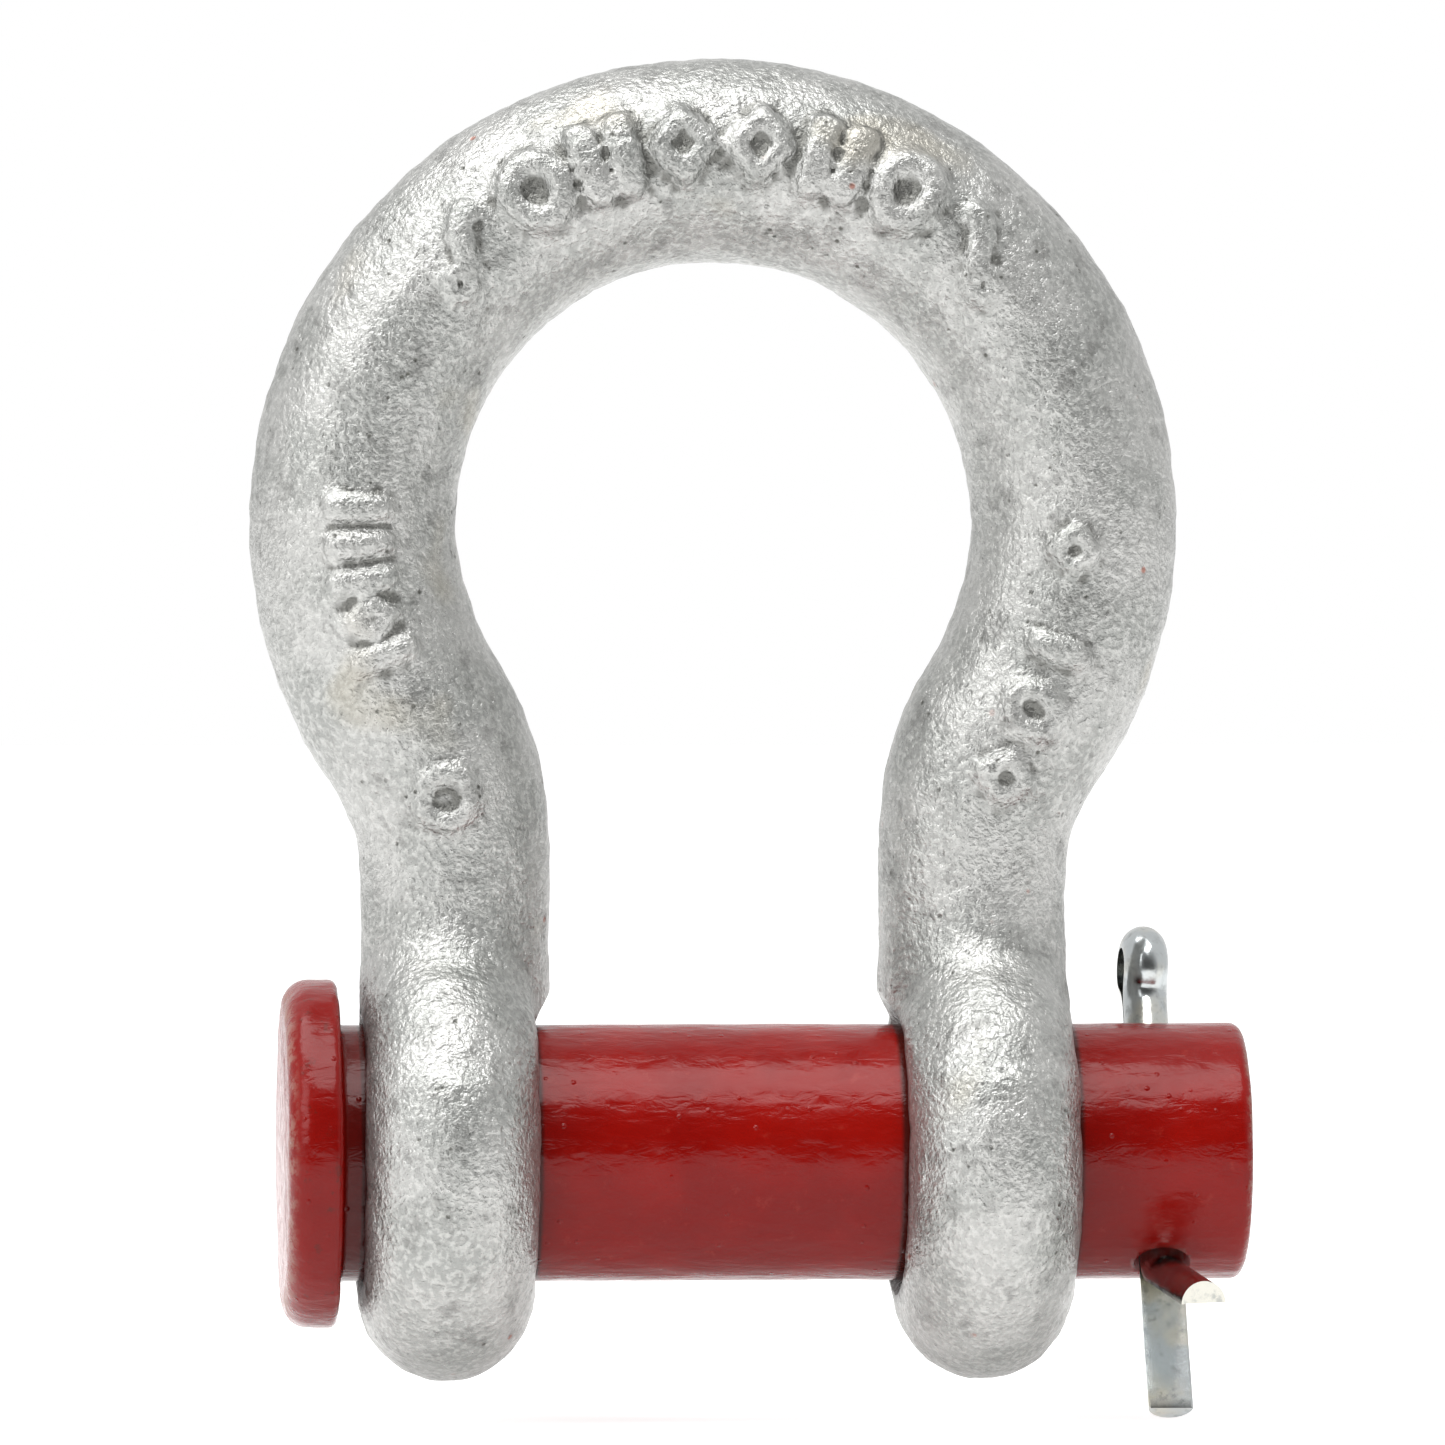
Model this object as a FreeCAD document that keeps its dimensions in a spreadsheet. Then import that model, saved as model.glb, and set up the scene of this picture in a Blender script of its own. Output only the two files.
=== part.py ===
import FreeCAD, Part
import math
import os

import Sketcher

# Round-pin bow shackle, nominal size 6 mm (1/4 in), hot-dip galvanised, with a painted pin.
#
# Frame: the X axis is the axis of the pin, with the split pin on the +X side.
# +Z is the line of pull, from the pin to the crown.  -Y is the side the split pin's leg is bent to.
# The origin is the middle of the pin, halfway between the two ears.

doc = FreeCAD.newDocument("bow_shackle")

# ---------------------------------------------------------------------------------------------
# Driving sizes, in millimetres and degrees
# ---------------------------------------------------------------------------------------------

SIZES = {
    # bow
    "crown_radius": 12.76,      # centre line of the crown
    "stock_dia": 7.25,          # round bar of the crown
    "bend_radius": 8.8,         # centre line of the bend that turns the crown into a leg
    "leg_height": 10.4,         # pin axis to the top of the straight leg
    "leg_taper": 2.6,           # length over which the bar thins from crown to leg
    "leg_dia": 6.7,             # round bar of the leg
    "jaw_gap": 11.7,            # clear width between the two legs
    "ear_wall": 3.415,          # eye at the foot of each leg: its bore to its outside
    "ear_thick": 6.1,           # thickness of the eye along the pin
    "spot_width": 0.45,         # flat land round the bore on the inner face of the eye
    "mouth_round": 0.35,        # rounded edge at both ends of each bore
    # pin
    "pin_dia": 9.07,            # plain shank
    "bore_clearance": 0.1,      # radial gap between shank and bore
    "head_overhang": 1.615,     # upset head: its rim beyond the shank
    "head_thick": 1.9,          # along the pin
    "head_play": 0.8,           # gap between head and ear
    "head_round": 0.9,          # outer rim of the head
    "rim_round": 0.25,          # inner rim of the head
    "tip_round": 0.4,           # broken edge at the plain end
    "hole_setback": 3.1,        # outer face of the ear to the cross hole
    "end_margin": 3.05,         # cross hole to the plain end
    "hole_clearance": 0.155,    # radial gap between split pin and cross hole
    "hole_tilt": 31.0,          # turn of the cross hole about the pin, from upright
    # split pin
    "wire_dia": 1.59,           # two half-round legs side by side
    "leg_parting": 0.1,         # gap between the two flat faces
    "neck_standoff": 1.215,     # pin's surface to the neck, where the eye begins
    "neck_radius": 1.5,         # flare from the neck into the eye
    "eye_radius": 0.75,         # inside of the eye
    "leg_reach": 5.665,         # pin's surface to the tip of the straight leg
    "fold_depth": 0.135,        # where the other leg starts to turn out, under the pin's surface
    "fold_radius": 0.605,       # inside of the bent leg's bend
    "fold_angle": 52.0,         # how far the leg is bent out
    "fold_turn": 8.0,           # how far the bent leg leans sideways, towards the pin's end
    "bent_leg": 4.5,            # straight length after the bend
    "tip_bevel": 0.35,          # bevel on the flat face at each tip
    "eye_turn": 4.0,            # turn of the eye about the cross hole
}

sheet = doc.addObject("Spreadsheet::Sheet", "Sizes")
for row, (alias, number) in enumerate(SIZES.items(), start=1):
    sheet.set(f"A{row}", alias.replace("_", " "))
    sheet.set(f"B{row}", str(number))
    sheet.setAlias(f"B{row}", alias)
doc.recompute()


# ---------------------------------------------------------------------------------------------
# Small tools that every piece uses
# ---------------------------------------------------------------------------------------------

RIGHT = FreeCAD.Vector(1, 0, 0)
UP = FreeCAD.Vector(0, 0, 1)


def new_body(name):
    body = doc.addObject("PartDesign::Body", name)
    body.Label = name
    return body


def origin_plane(body, role):
    return next(item for item in body.Origin.OriginFeatures if item.Role == role)


def new_sketch(body, name, role):
    sketch = body.newObject("Sketcher::SketchObject", name)
    sketch.AttachmentSupport = [(origin_plane(body, role), "")]
    sketch.MapMode = "FlatFace"
    return sketch


def as_drawn(sketch, kind, where):
    """The size that a new dimension starts from, so that adding it moves nothing."""
    if kind in ("DistanceX", "DistanceY"):
        step = sketch.getPoint(where[2], where[3]) - sketch.getPoint(where[0], where[1])
        return step.x if kind == "DistanceX" else step.y
    drawn = sketch.Geometry[where[0]]
    if kind == "Angle":
        return drawn.LastParameter - drawn.FirstParameter
    if kind == "Distance":
        return drawn.length()
    return drawn.Radius if kind == "Radius" else 2 * drawn.Radius


def drive(sketch, kind, name, expression, *where):
    """Add one dimension and bind it to the sheet."""
    index = sketch.addConstraint(Sketcher.Constraint(kind, *where, as_drawn(sketch, kind, where)))
    sketch.renameConstraint(index, name)
    sketch.setExpression(f"Constraints.{name}", expression)


def arc(centre_x, centre_y, radius, start_deg, end_deg):
    circle = Part.Circle(FreeCAD.Vector(centre_x, centre_y, 0), UP, radius)
    return Part.ArcOfCircle(circle, math.radians(start_deg), math.radians(end_deg))


def line(x1, y1, x2, y2):
    return Part.LineSegment(FreeCAD.Vector(x1, y1, 0), FreeCAD.Vector(x2, y2, 0))


def join(sketch, kind, *pairs):
    for first, first_end, second, second_end in pairs:
        sketch.addConstraint(Sketcher.Constraint(kind, first, first_end, second, second_end))


def polygon(sketch, corners):
    """A closed outline of straight lines; every corner is placed by two expressions."""
    count = len(corners)
    for number in range(count):
        here = math.radians(360 * number / count)
        there = math.radians(360 * (number + 1) / count)
        sketch.addGeometry(line(math.cos(here), math.sin(here), math.cos(there), math.sin(there)), False)
    for number, (across, along) in enumerate(corners):
        join(sketch, "Coincident", (number, 2, (number + 1) % count, 1))
        for kind, axis, expression in (("DistanceX", -2, across), ("DistanceY", -1, along)):
            if expression == "0":
                sketch.addConstraint(Sketcher.Constraint("PointOnObject", number, 1, axis))
            else:
                drive(sketch, kind, f"{kind}_{number}", expression, -1, 1, number, 1)


def round_edges(body, name, kind, size_property, expression, wanted):
    """Round or bevel the edges of the body's tip for which wanted(edge) is true."""
    doc.recompute()
    base = body.Tip
    names = [f"Edge{n}" for n, edge in enumerate(base.Shape.Edges, start=1) if wanted(edge)]
    if not names:
        raise RuntimeError(f"{name}: no edge found")
    feature = body.newObject(f"PartDesign::{kind}", name)
    feature.Base = (base, names)
    feature.setExpression(size_property, expression)
    doc.recompute()
    return feature


def is_ring(edge, radius, x):
    """True for a full circle about the pin axis, at x along it."""
    curve = edge.Curve
    if not isinstance(curve, Part.Circle) or abs(curve.Axis.x) < 0.999:
        return False
    return abs(curve.Radius - radius) < 1e-4 and abs(curve.Center.x - x) < 1e-4


def check_cut(before, after, what):
    if after.Shape.Volume > before.Shape.Volume - 0.01:
        raise RuntimeError(f"{what} removed nothing")


# ---------------------------------------------------------------------------------------------
# Bow: round bar bent to a crown, two legs, and a bored eye at the foot of each leg
# ---------------------------------------------------------------------------------------------

LEG_X = "(Sizes.jaw_gap + Sizes.leg_dia) / 2"
EAR_OUT = "(Sizes.jaw_gap / 2 + Sizes.leg_dia)"
EAR_IN = "(Sizes.jaw_gap / 2 + Sizes.leg_dia - Sizes.ear_thick)"
BORE = "(Sizes.pin_dia / 2 + Sizes.bore_clearance)"
RING = f"({BORE} + Sizes.ear_wall - Sizes.ear_thick / 2)"
OVERCUT = 1                     # how far the tools that cut the bore run past the metal


def make_bow():
    body = new_body("bow")
    bore_radius = SIZES["pin_dia"] / 2 + SIZES["bore_clearance"]
    leg_x = (SIZES["jaw_gap"] + SIZES["leg_dia"]) / 2
    crown = SIZES["crown_radius"]
    bend = SIZES["bend_radius"]
    top = SIZES["leg_height"]
    rise = math.sqrt((crown + bend) ** 2 - (leg_x + bend) ** 2)
    meet = math.degrees(math.atan2(rise, leg_x + bend))

    # centre line: bend, crown, bend
    path = new_sketch(body, "bow_path", "XZ_Plane")
    path.addGeometry(arc(leg_x + bend, top, bend, 180 - meet, 180), False)
    path.addGeometry(arc(0, top + rise, crown, -meet, 180 + meet), False)
    path.addGeometry(arc(-leg_x - bend, top, bend, 0, meet), False)
    join(path, "Tangent", (0, 1, 1, 1), (1, 2, 2, 2))
    join(path, "Horizontal", (0, 3, 0, 2), (2, 3, 2, 1))
    path.addConstraint(Sketcher.Constraint("PointOnObject", 1, 3, -2))
    path.addConstraint(Sketcher.Constraint("Equal", 0, 2))
    drive(path, "Radius", "crown", "Sizes.crown_radius", 1)
    drive(path, "Radius", "bend", "Sizes.bend_radius", 0)
    drive(path, "DistanceX", "leg_right", LEG_X, -1, 1, 0, 2)
    drive(path, "DistanceX", "leg_left", LEG_X, 2, 1, -1, 1)
    drive(path, "DistanceY", "leg_top", "Sizes.leg_height", -1, 1, 0, 2)

    def bar_section(name, diameter, height):
        section = new_sketch(body, name, "XY_Plane")
        section.setExpression("AttachmentOffset.Base.z", height)
        section.addGeometry(Part.Circle(FreeCAD.Vector(leg_x, 0, 0), UP, 1), False)
        section.addConstraint(Sketcher.Constraint("PointOnObject", 0, 3, -1))
        drive(section, "Diameter", "bar_dia", diameter, 0)
        drive(section, "DistanceX", "leg", LEG_X, -1, 1, 0, 3)
        return section

    stock = bar_section("stock_section", "Sizes.stock_dia", "Sizes.leg_height")
    slim = bar_section("leg_section", "Sizes.leg_dia", "Sizes.leg_height - Sizes.leg_taper")

    bar = body.newObject("PartDesign::AdditivePipe", "crown_bar")
    bar.Profile = stock
    bar.Spine = path
    bar.Mode = "Binormal"
    bar.Binormal = FreeCAD.Vector(0, 1, 0)
    doc.recompute()

    taper = body.newObject("PartDesign::AdditiveLoft", "leg_neck")
    taper.Profile = stock
    taper.Sections = [slim]
    leg = body.newObject("PartDesign::Pad", "leg")
    leg.Profile = slim
    leg.Reversed = True
    leg.setExpression("Length", "Sizes.leg_height - Sizes.leg_taper")

    # eye: a disc with a full-round rim, turned about the pin axis
    rim = new_sketch(body, "ear_section", "XZ_Plane")
    half = SIZES["ear_thick"] / 2
    ear_x = SIZES["jaw_gap"] / 2 + SIZES["leg_dia"] - half
    ring = bore_radius + SIZES["ear_wall"] - half
    rim.addGeometry(line(ear_x - half, 0, ear_x - half, ring), False)
    rim.addGeometry(arc(ear_x, ring, half, 0, 180), False)
    rim.addGeometry(line(ear_x + half, ring, ear_x + half, 0), False)
    rim.addGeometry(line(ear_x + half, 0, ear_x - half, 0), False)
    join(rim, "Tangent", (0, 2, 1, 2), (1, 1, 2, 1))
    join(rim, "Coincident", (2, 2, 3, 1), (3, 2, 0, 1))
    rim.addConstraint(Sketcher.Constraint("PointOnObject", 3, 1, -1))
    rim.addConstraint(Sketcher.Constraint("PointOnObject", 3, 2, -1))
    rim.addConstraint(Sketcher.Constraint("Vertical", 0))
    rim.addConstraint(Sketcher.Constraint("Vertical", 2))
    drive(rim, "Radius", "rim", "Sizes.ear_thick / 2", 1)
    drive(rim, "DistanceX", "inner_face", EAR_IN, -1, 1, 3, 2)
    drive(rim, "DistanceY", "ring", RING, -1, 1, 1, 3)
    ear = body.newObject("PartDesign::Revolution", "ear")
    ear.Profile = rim
    ear.ReferenceAxis = (rim, ["H_Axis"])
    ear.Angle = 360
    doc.recompute()

    # spot face on the inner side, its sloping edge, and the bore with its rounded mouths
    inside = SIZES["jaw_gap"] / 2 - OVERCUT
    outside = ear_x + half + OVERCUT
    mouth = SIZES["mouth_round"]
    lip = bore_radius + mouth
    land = bore_radius + SIZES["spot_width"]
    cut = new_sketch(body, "bore_section", "XZ_Plane")
    cut.addGeometry(line(inside, 0, inside, land + ear_x - half - inside), False)
    cut.addGeometry(line(inside, land + ear_x - half - inside, ear_x - half, land), False)
    cut.addGeometry(line(ear_x - half, land, ear_x - half, lip), False)
    cut.addGeometry(arc(ear_x - half + mouth, lip, mouth, 180, 270), False)
    cut.addGeometry(line(ear_x - half + mouth, bore_radius, ear_x + half - mouth, bore_radius), False)
    cut.addGeometry(arc(ear_x + half - mouth, lip, mouth, 270, 360), False)
    cut.addGeometry(line(ear_x + half, lip, outside, lip), False)
    cut.addGeometry(line(outside, lip, outside, 0), False)
    cut.addGeometry(line(outside, 0, inside, 0), False)
    join(cut, "Tangent", (2, 2, 3, 1), (3, 2, 4, 1), (4, 2, 5, 1))
    join(cut, "Coincident", (0, 2, 1, 1), (1, 2, 2, 1), (5, 2, 6, 1))
    join(cut, "Coincident", (6, 2, 7, 1), (7, 2, 8, 1), (8, 2, 0, 1))
    join(cut, "Horizontal", (5, 3, 5, 2))
    for upright in (0, 2, 7):
        cut.addConstraint(Sketcher.Constraint("Vertical", upright))
    for level in (4, 6):
        cut.addConstraint(Sketcher.Constraint("Horizontal", level))
    for end in (1, 2):
        cut.addConstraint(Sketcher.Constraint("PointOnObject", 8, end, -1))
    cut.addConstraint(Sketcher.Constraint("Equal", 3, 5))
    inner_end = f"(Sizes.jaw_gap / 2 - {OVERCUT})"
    drive(cut, "Radius", "mouth", "Sizes.mouth_round", 3)
    drive(cut, "DistanceX", "inner_end", inner_end, -1, 1, 0, 2)
    drive(cut, "DistanceY", "slope", f"{BORE} + Sizes.spot_width + {EAR_IN} - {inner_end}", -1, 1, 0, 2)
    drive(cut, "DistanceX", "spot_face", EAR_IN, -1, 1, 2, 1)
    drive(cut, "DistanceY", "land", f"{BORE} + Sizes.spot_width", -1, 1, 2, 1)
    drive(cut, "DistanceY", "bore", BORE, -1, 1, 4, 1)
    drive(cut, "DistanceX", "outer_face", EAR_OUT, -1, 1, 5, 2)
    drive(cut, "DistanceX", "outer_end", f"{EAR_OUT} + {OVERCUT}", -1, 1, 7, 1)
    bore = body.newObject("PartDesign::Groove", "bore")
    bore.Profile = cut
    bore.ReferenceAxis = (cut, ["H_Axis"])
    bore.Angle = 360
    doc.recompute()
    check_cut(ear, bore, "the bore")

    both = body.newObject("PartDesign::Mirrored", "both_sides")
    both.Originals = [taper, leg, ear, bore]
    both.MirrorPlane = (origin_plane(body, "YZ_Plane"), [""])
    body.Tip = both
    return body


# ---------------------------------------------------------------------------------------------
# Pin: plain shank with an upset head, cross-drilled near its plain end
# ---------------------------------------------------------------------------------------------

HOLE_X = f"({EAR_OUT} + Sizes.hole_setback)"
HOLE_DIA = "(Sizes.wire_dia + Sizes.leg_parting + 2 * Sizes.hole_clearance)"


def make_pin():
    body = new_body("round_pin")
    head_in = f"-({EAR_OUT} + Sizes.head_play)"
    head_out = f"{head_in} - Sizes.head_thick"
    head_rim = "Sizes.pin_dia / 2 + Sizes.head_overhang"
    shank_rim = "Sizes.pin_dia / 2"
    tip = f"{HOLE_X} + Sizes.end_margin"
    section = new_sketch(body, "pin_section", "XZ_Plane")
    polygon(section, [(tip, "0"), (tip, shank_rim), (head_in, shank_rim),
                      (head_in, head_rim), (head_out, head_rim), (head_out, "0")])
    turned = body.newObject("PartDesign::Revolution", "turned_pin")
    turned.Profile = section
    turned.ReferenceAxis = (section, ["H_Axis"])
    turned.Angle = 360
    doc.recompute()

    drill = new_sketch(body, "hole_section", "XY_Plane")
    drill.addGeometry(Part.Circle(FreeCAD.Vector(1, 0, 0), UP, 1), False)
    drill.addConstraint(Sketcher.Constraint("PointOnObject", 0, 3, -1))
    drive(drill, "Diameter", "hole", HOLE_DIA, 0)
    drive(drill, "DistanceX", "hole_x", HOLE_X, -1, 1, 0, 3)
    hole = body.newObject("PartDesign::Pocket", "cross_hole")
    hole.Profile = drill
    hole.SideType = "Symmetric"
    hole.setExpression("Length", "2 * Sizes.pin_dia")
    doc.recompute()
    check_cut(turned, hole, "the cross hole")

    ear_out = SIZES["jaw_gap"] / 2 + SIZES["leg_dia"]
    head_face = -(ear_out + SIZES["head_play"])
    head_edge = SIZES["pin_dia"] / 2 + SIZES["head_overhang"]
    end_face = ear_out + SIZES["hole_setback"] + SIZES["end_margin"]
    round_edges(body, "head_rim", "Fillet", "Radius", "Sizes.head_round",
                lambda edge: is_ring(edge, head_edge, head_face - SIZES["head_thick"]))
    round_edges(body, "head_inner_rim", "Fillet", "Radius", "Sizes.rim_round",
                lambda edge: is_ring(edge, head_edge, head_face))
    round_edges(body, "plain_end", "Fillet", "Radius", "Sizes.tip_round",
                lambda edge: is_ring(edge, SIZES["pin_dia"] / 2, end_face))
    body.setExpression("Placement.Rotation.Angle", "-Sizes.hole_tilt * 1deg")
    body.Placement.Rotation.Axis = RIGHT
    return body


# ---------------------------------------------------------------------------------------------
# Split pin: half-round wire, flat side inwards, folded into an eye and two legs.
# In the body's own frame the legs lie along Z and the eye in the YZ plane.
# ---------------------------------------------------------------------------------------------

NECK_HEIGHT = "(Sizes.pin_dia / 2 + Sizes.neck_standoff)"
LONG_LEG = "(Sizes.pin_dia / 2 + Sizes.leg_reach)"
FOLD_START = "(Sizes.pin_dia / 2 - Sizes.fold_depth)"
FOLD_RADIUS = "(Sizes.fold_radius + Sizes.wire_dia / 2)"


def make_split_pin():
    body = new_body("split_pin")
    part = SIZES["leg_parting"] / 2
    neck = SIZES["neck_radius"]
    eye = SIZES["eye_radius"]
    surface = SIZES["pin_dia"] / 2
    low = surface + SIZES["neck_standoff"]
    long_tip = -(surface + SIZES["leg_reach"])
    bend_z = -(surface - SIZES["fold_depth"])
    rise = math.sqrt((neck + eye) ** 2 - (part + neck) ** 2)
    meet = math.degrees(math.atan2(rise, part + neck))

    # straight leg, neck, eye, neck, and the other leg down to its bend
    path = new_sketch(body, "eye_path", "YZ_Plane")
    path.addGeometry(line(part, long_tip, part, low), False)
    path.addGeometry(arc(part + neck, low, neck, 180 - meet, 180), False)
    path.addGeometry(arc(0, low + rise, eye, -meet, 180 + meet), False)
    path.addGeometry(arc(-part - neck, low, neck, 0, meet), False)
    path.addGeometry(line(-part, low, -part, bend_z), False)
    join(path, "Tangent", (0, 2, 1, 2), (1, 1, 2, 1), (2, 2, 3, 2), (3, 1, 4, 1))
    path.addConstraint(Sketcher.Constraint("Vertical", 0))
    path.addConstraint(Sketcher.Constraint("Vertical", 4))
    path.addConstraint(Sketcher.Constraint("PointOnObject", 2, 3, -2))
    path.addConstraint(Sketcher.Constraint("Equal", 1, 3))
    drive(path, "Radius", "neck", "Sizes.neck_radius", 1)
    drive(path, "Radius", "eye", "Sizes.eye_radius", 2)
    drive(path, "DistanceX", "flat", "Sizes.leg_parting / 2", -1, 1, 0, 1)
    drive(path, "DistanceX", "other_flat", "Sizes.leg_parting / 2", 4, 1, -1, 1)
    drive(path, "DistanceY", "neck_height", NECK_HEIGHT, -1, 1, 0, 2)
    drive(path, "DistanceY", "long_leg", LONG_LEG, 0, 1, -1, 1)
    drive(path, "DistanceY", "fold_start", FOLD_START, 4, 2, -1, 1)

    def half_round(name, side, height):
        """Half-round section with its flat towards the other leg; side is +1 or -1 along Y."""
        radius = SIZES["wire_dia"] / 2
        section = new_sketch(body, name, "XY_Plane")
        section.setExpression("AttachmentOffset.Base.z", height)
        start = 0 if side > 0 else 180
        section.addGeometry(arc(0, side * part, radius, start, start + 180), False)
        section.addGeometry(line(-side * radius, side * part, side * radius, side * part), False)
        join(section, "Coincident", (0, 2, 1, 1), (1, 2, 0, 1))
        section.addConstraint(Sketcher.Constraint("Horizontal", 1))
        section.addConstraint(Sketcher.Constraint("PointOnObject", 0, 3, 1))
        section.addConstraint(Sketcher.Constraint("PointOnObject", 0, 3, -2))
        drive(section, "Radius", "wire", "Sizes.wire_dia / 2", 0)
        ends = (-1, 1, 0, 3) if side > 0 else (0, 3, -1, 1)
        drive(section, "DistanceY", "flat", "Sizes.leg_parting / 2", *ends)
        return section

    wire = body.newObject("PartDesign::AdditivePipe", "eye_wire")
    wire.Profile = half_round("wire_section", 1, f"-{LONG_LEG}")
    wire.Spine = path
    wire.Mode = "Binormal"
    wire.Binormal = RIGHT
    doc.recompute()

    # the bend and the leg after it, in a plane that leans towards the pin's end
    fold = SIZES["fold_radius"] + SIZES["wire_dia"] / 2
    turn = SIZES["fold_angle"]
    bent = new_sketch(body, "bent_path", "YZ_Plane")
    bent.addGeometry(arc(-part - fold, bend_z, fold, -turn, 0), False)
    end_y = -part - fold + fold * math.cos(math.radians(turn))
    end_z = bend_z - fold * math.sin(math.radians(turn))
    reach = SIZES["bent_leg"]
    bent.addGeometry(line(end_y, end_z, end_y - reach * math.sin(math.radians(turn)),
                          end_z - reach * math.cos(math.radians(turn))), False)
    join(bent, "Tangent", (0, 1, 1, 1))
    join(bent, "Horizontal", (0, 3, 0, 2))
    drive(bent, "Radius", "fold", FOLD_RADIUS, 0)
    drive(bent, "DistanceX", "flat", "Sizes.leg_parting / 2", 0, 2, -1, 1)
    drive(bent, "DistanceY", "fold_start", FOLD_START, 0, 2, -1, 1)
    drive(bent, "Distance", "reach", "Sizes.bent_leg", 1)
    drive(bent, "Angle", "turn", "Sizes.fold_angle * 1deg", 0)
    bent.setExpression("AttachmentOffset.Rotation.Angle", "Sizes.fold_turn * 1deg")
    bent.AttachmentOffset.Rotation.Axis = FreeCAD.Vector(0, 1, 0)

    tail = body.newObject("PartDesign::AdditivePipe", "bent_leg")
    tail.Profile = half_round("bend_section", -1, f"-{FOLD_START}")
    tail.Spine = bent
    doc.recompute()

    def is_tip(edge):
        """The flat face's edge at the end of either leg."""
        if not isinstance(edge.Curve, Part.Line) or abs(edge.Length - SIZES["wire_dia"]) > 1e-3:
            return False
        middle = edge.CenterOfMass
        return abs(middle.z - long_tip) < 1e-4 or middle.y < -2 * fold

    round_edges(body, "tip_bevels", "Chamfer", "Size", "Sizes.tip_bevel", is_tip)
    tilt = FreeCAD.Rotation(RIGHT, -SIZES["hole_tilt"])
    turned = FreeCAD.Rotation(UP, SIZES["eye_turn"])
    body.Placement = FreeCAD.Placement(FreeCAD.Vector(0, 0, 0), tilt * turned)
    body.setExpression("Placement.Base.x", HOLE_X)
    return body


# ---------------------------------------------------------------------------------------------
# Build, check and write
# ---------------------------------------------------------------------------------------------

pieces = [make_bow(), make_pin(), make_split_pin()]
doc.recompute()

for item in doc.Objects:
    if "Invalid" in item.State or "Error" in item.State:
        raise RuntimeError(f"{item.Name} failed: {item.State}")

os.makedirs("parts", exist_ok=True)
for piece in pieces:
    shape = piece.Shape
    if shape.isNull() or not shape.isValid() or len(shape.Solids) != 1:
        raise RuntimeError(f"{piece.Label} is not one valid solid")
    shape.exportStep(f"parts/{piece.Label}.step")
    print(piece.Label, "volume", round(shape.Volume, 2))
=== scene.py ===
import bmesh
import bpy
import math
from mathutils import Matrix, Vector, noise


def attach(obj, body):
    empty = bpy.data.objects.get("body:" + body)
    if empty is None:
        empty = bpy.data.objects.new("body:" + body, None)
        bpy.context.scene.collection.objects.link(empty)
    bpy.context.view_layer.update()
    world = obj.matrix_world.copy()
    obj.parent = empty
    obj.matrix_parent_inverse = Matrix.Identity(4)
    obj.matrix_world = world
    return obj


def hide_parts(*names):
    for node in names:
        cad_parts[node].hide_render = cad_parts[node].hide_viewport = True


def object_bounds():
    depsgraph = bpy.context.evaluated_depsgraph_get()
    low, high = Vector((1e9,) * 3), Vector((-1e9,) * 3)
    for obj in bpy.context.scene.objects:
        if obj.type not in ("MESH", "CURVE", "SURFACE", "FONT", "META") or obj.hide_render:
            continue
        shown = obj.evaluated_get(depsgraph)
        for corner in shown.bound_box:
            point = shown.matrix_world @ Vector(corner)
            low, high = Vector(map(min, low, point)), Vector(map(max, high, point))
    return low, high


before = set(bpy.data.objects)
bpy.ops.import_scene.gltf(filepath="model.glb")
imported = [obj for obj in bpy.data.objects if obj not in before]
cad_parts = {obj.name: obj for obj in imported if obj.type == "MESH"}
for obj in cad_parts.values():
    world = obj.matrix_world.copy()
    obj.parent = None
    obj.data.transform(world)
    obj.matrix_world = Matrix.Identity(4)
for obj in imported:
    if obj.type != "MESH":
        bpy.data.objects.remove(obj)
cad_low, cad_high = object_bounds()

# ---------------------------------------------------------------------------------------------
# Bow: one piece of round bar, drop-forged with an eye at the foot of each leg, hot-dip galvanised.
# The zinc leaves a fine orange-peel grain, soft lumps and dark specks, and it rounds every edge.
# The forging die leaves raised marks on the front: plain bars, dots, rings and square rings.
# ---------------------------------------------------------------------------------------------

MM = 0.001
CROWN_RADIUS = 12.76 * MM
BEND_RADIUS = 8.8 * MM
LEG_X = 9.2 * MM
LEG_TOP = 10.4 * MM
TOP_BAR = 3.60 * MM
SIDE_BAR = 3.66 * MM
LEG_BAR = 3.37 * MM
EAR_X = 9.5 * MM
EAR_RADIUS = 8.05 * MM
EAR_HALF = 3.05 * MM
BORE = 4.69 * MM
SPOT_LAND = 0.40 * MM
MOUTH_ROUND = 0.38 * MM
MOUTH_DEPTH = 1.4 * MOUTH_ROUND
DIE_SKIN = 0.25 * MM
ZINC_SKIN = 0.195 * MM

RISE = math.sqrt((CROWN_RADIUS + BEND_RADIUS) ** 2 - (LEG_X + BEND_RADIUS) ** 2)
CROWN_HEIGHT = LEG_TOP + RISE
BEND_TURN = math.atan2(RISE, LEG_X + BEND_RADIUS)
CROWN_RUN = CROWN_RADIUS * (math.pi / 2 + BEND_TURN)
BEND_RUN = BEND_RADIUS * BEND_TURN
FRONT = Vector((0, -1, 0))


def ease(value):
    value = min(max(value, 0.0), 1.0)
    return value * value * (3 - 2 * value)


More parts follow.
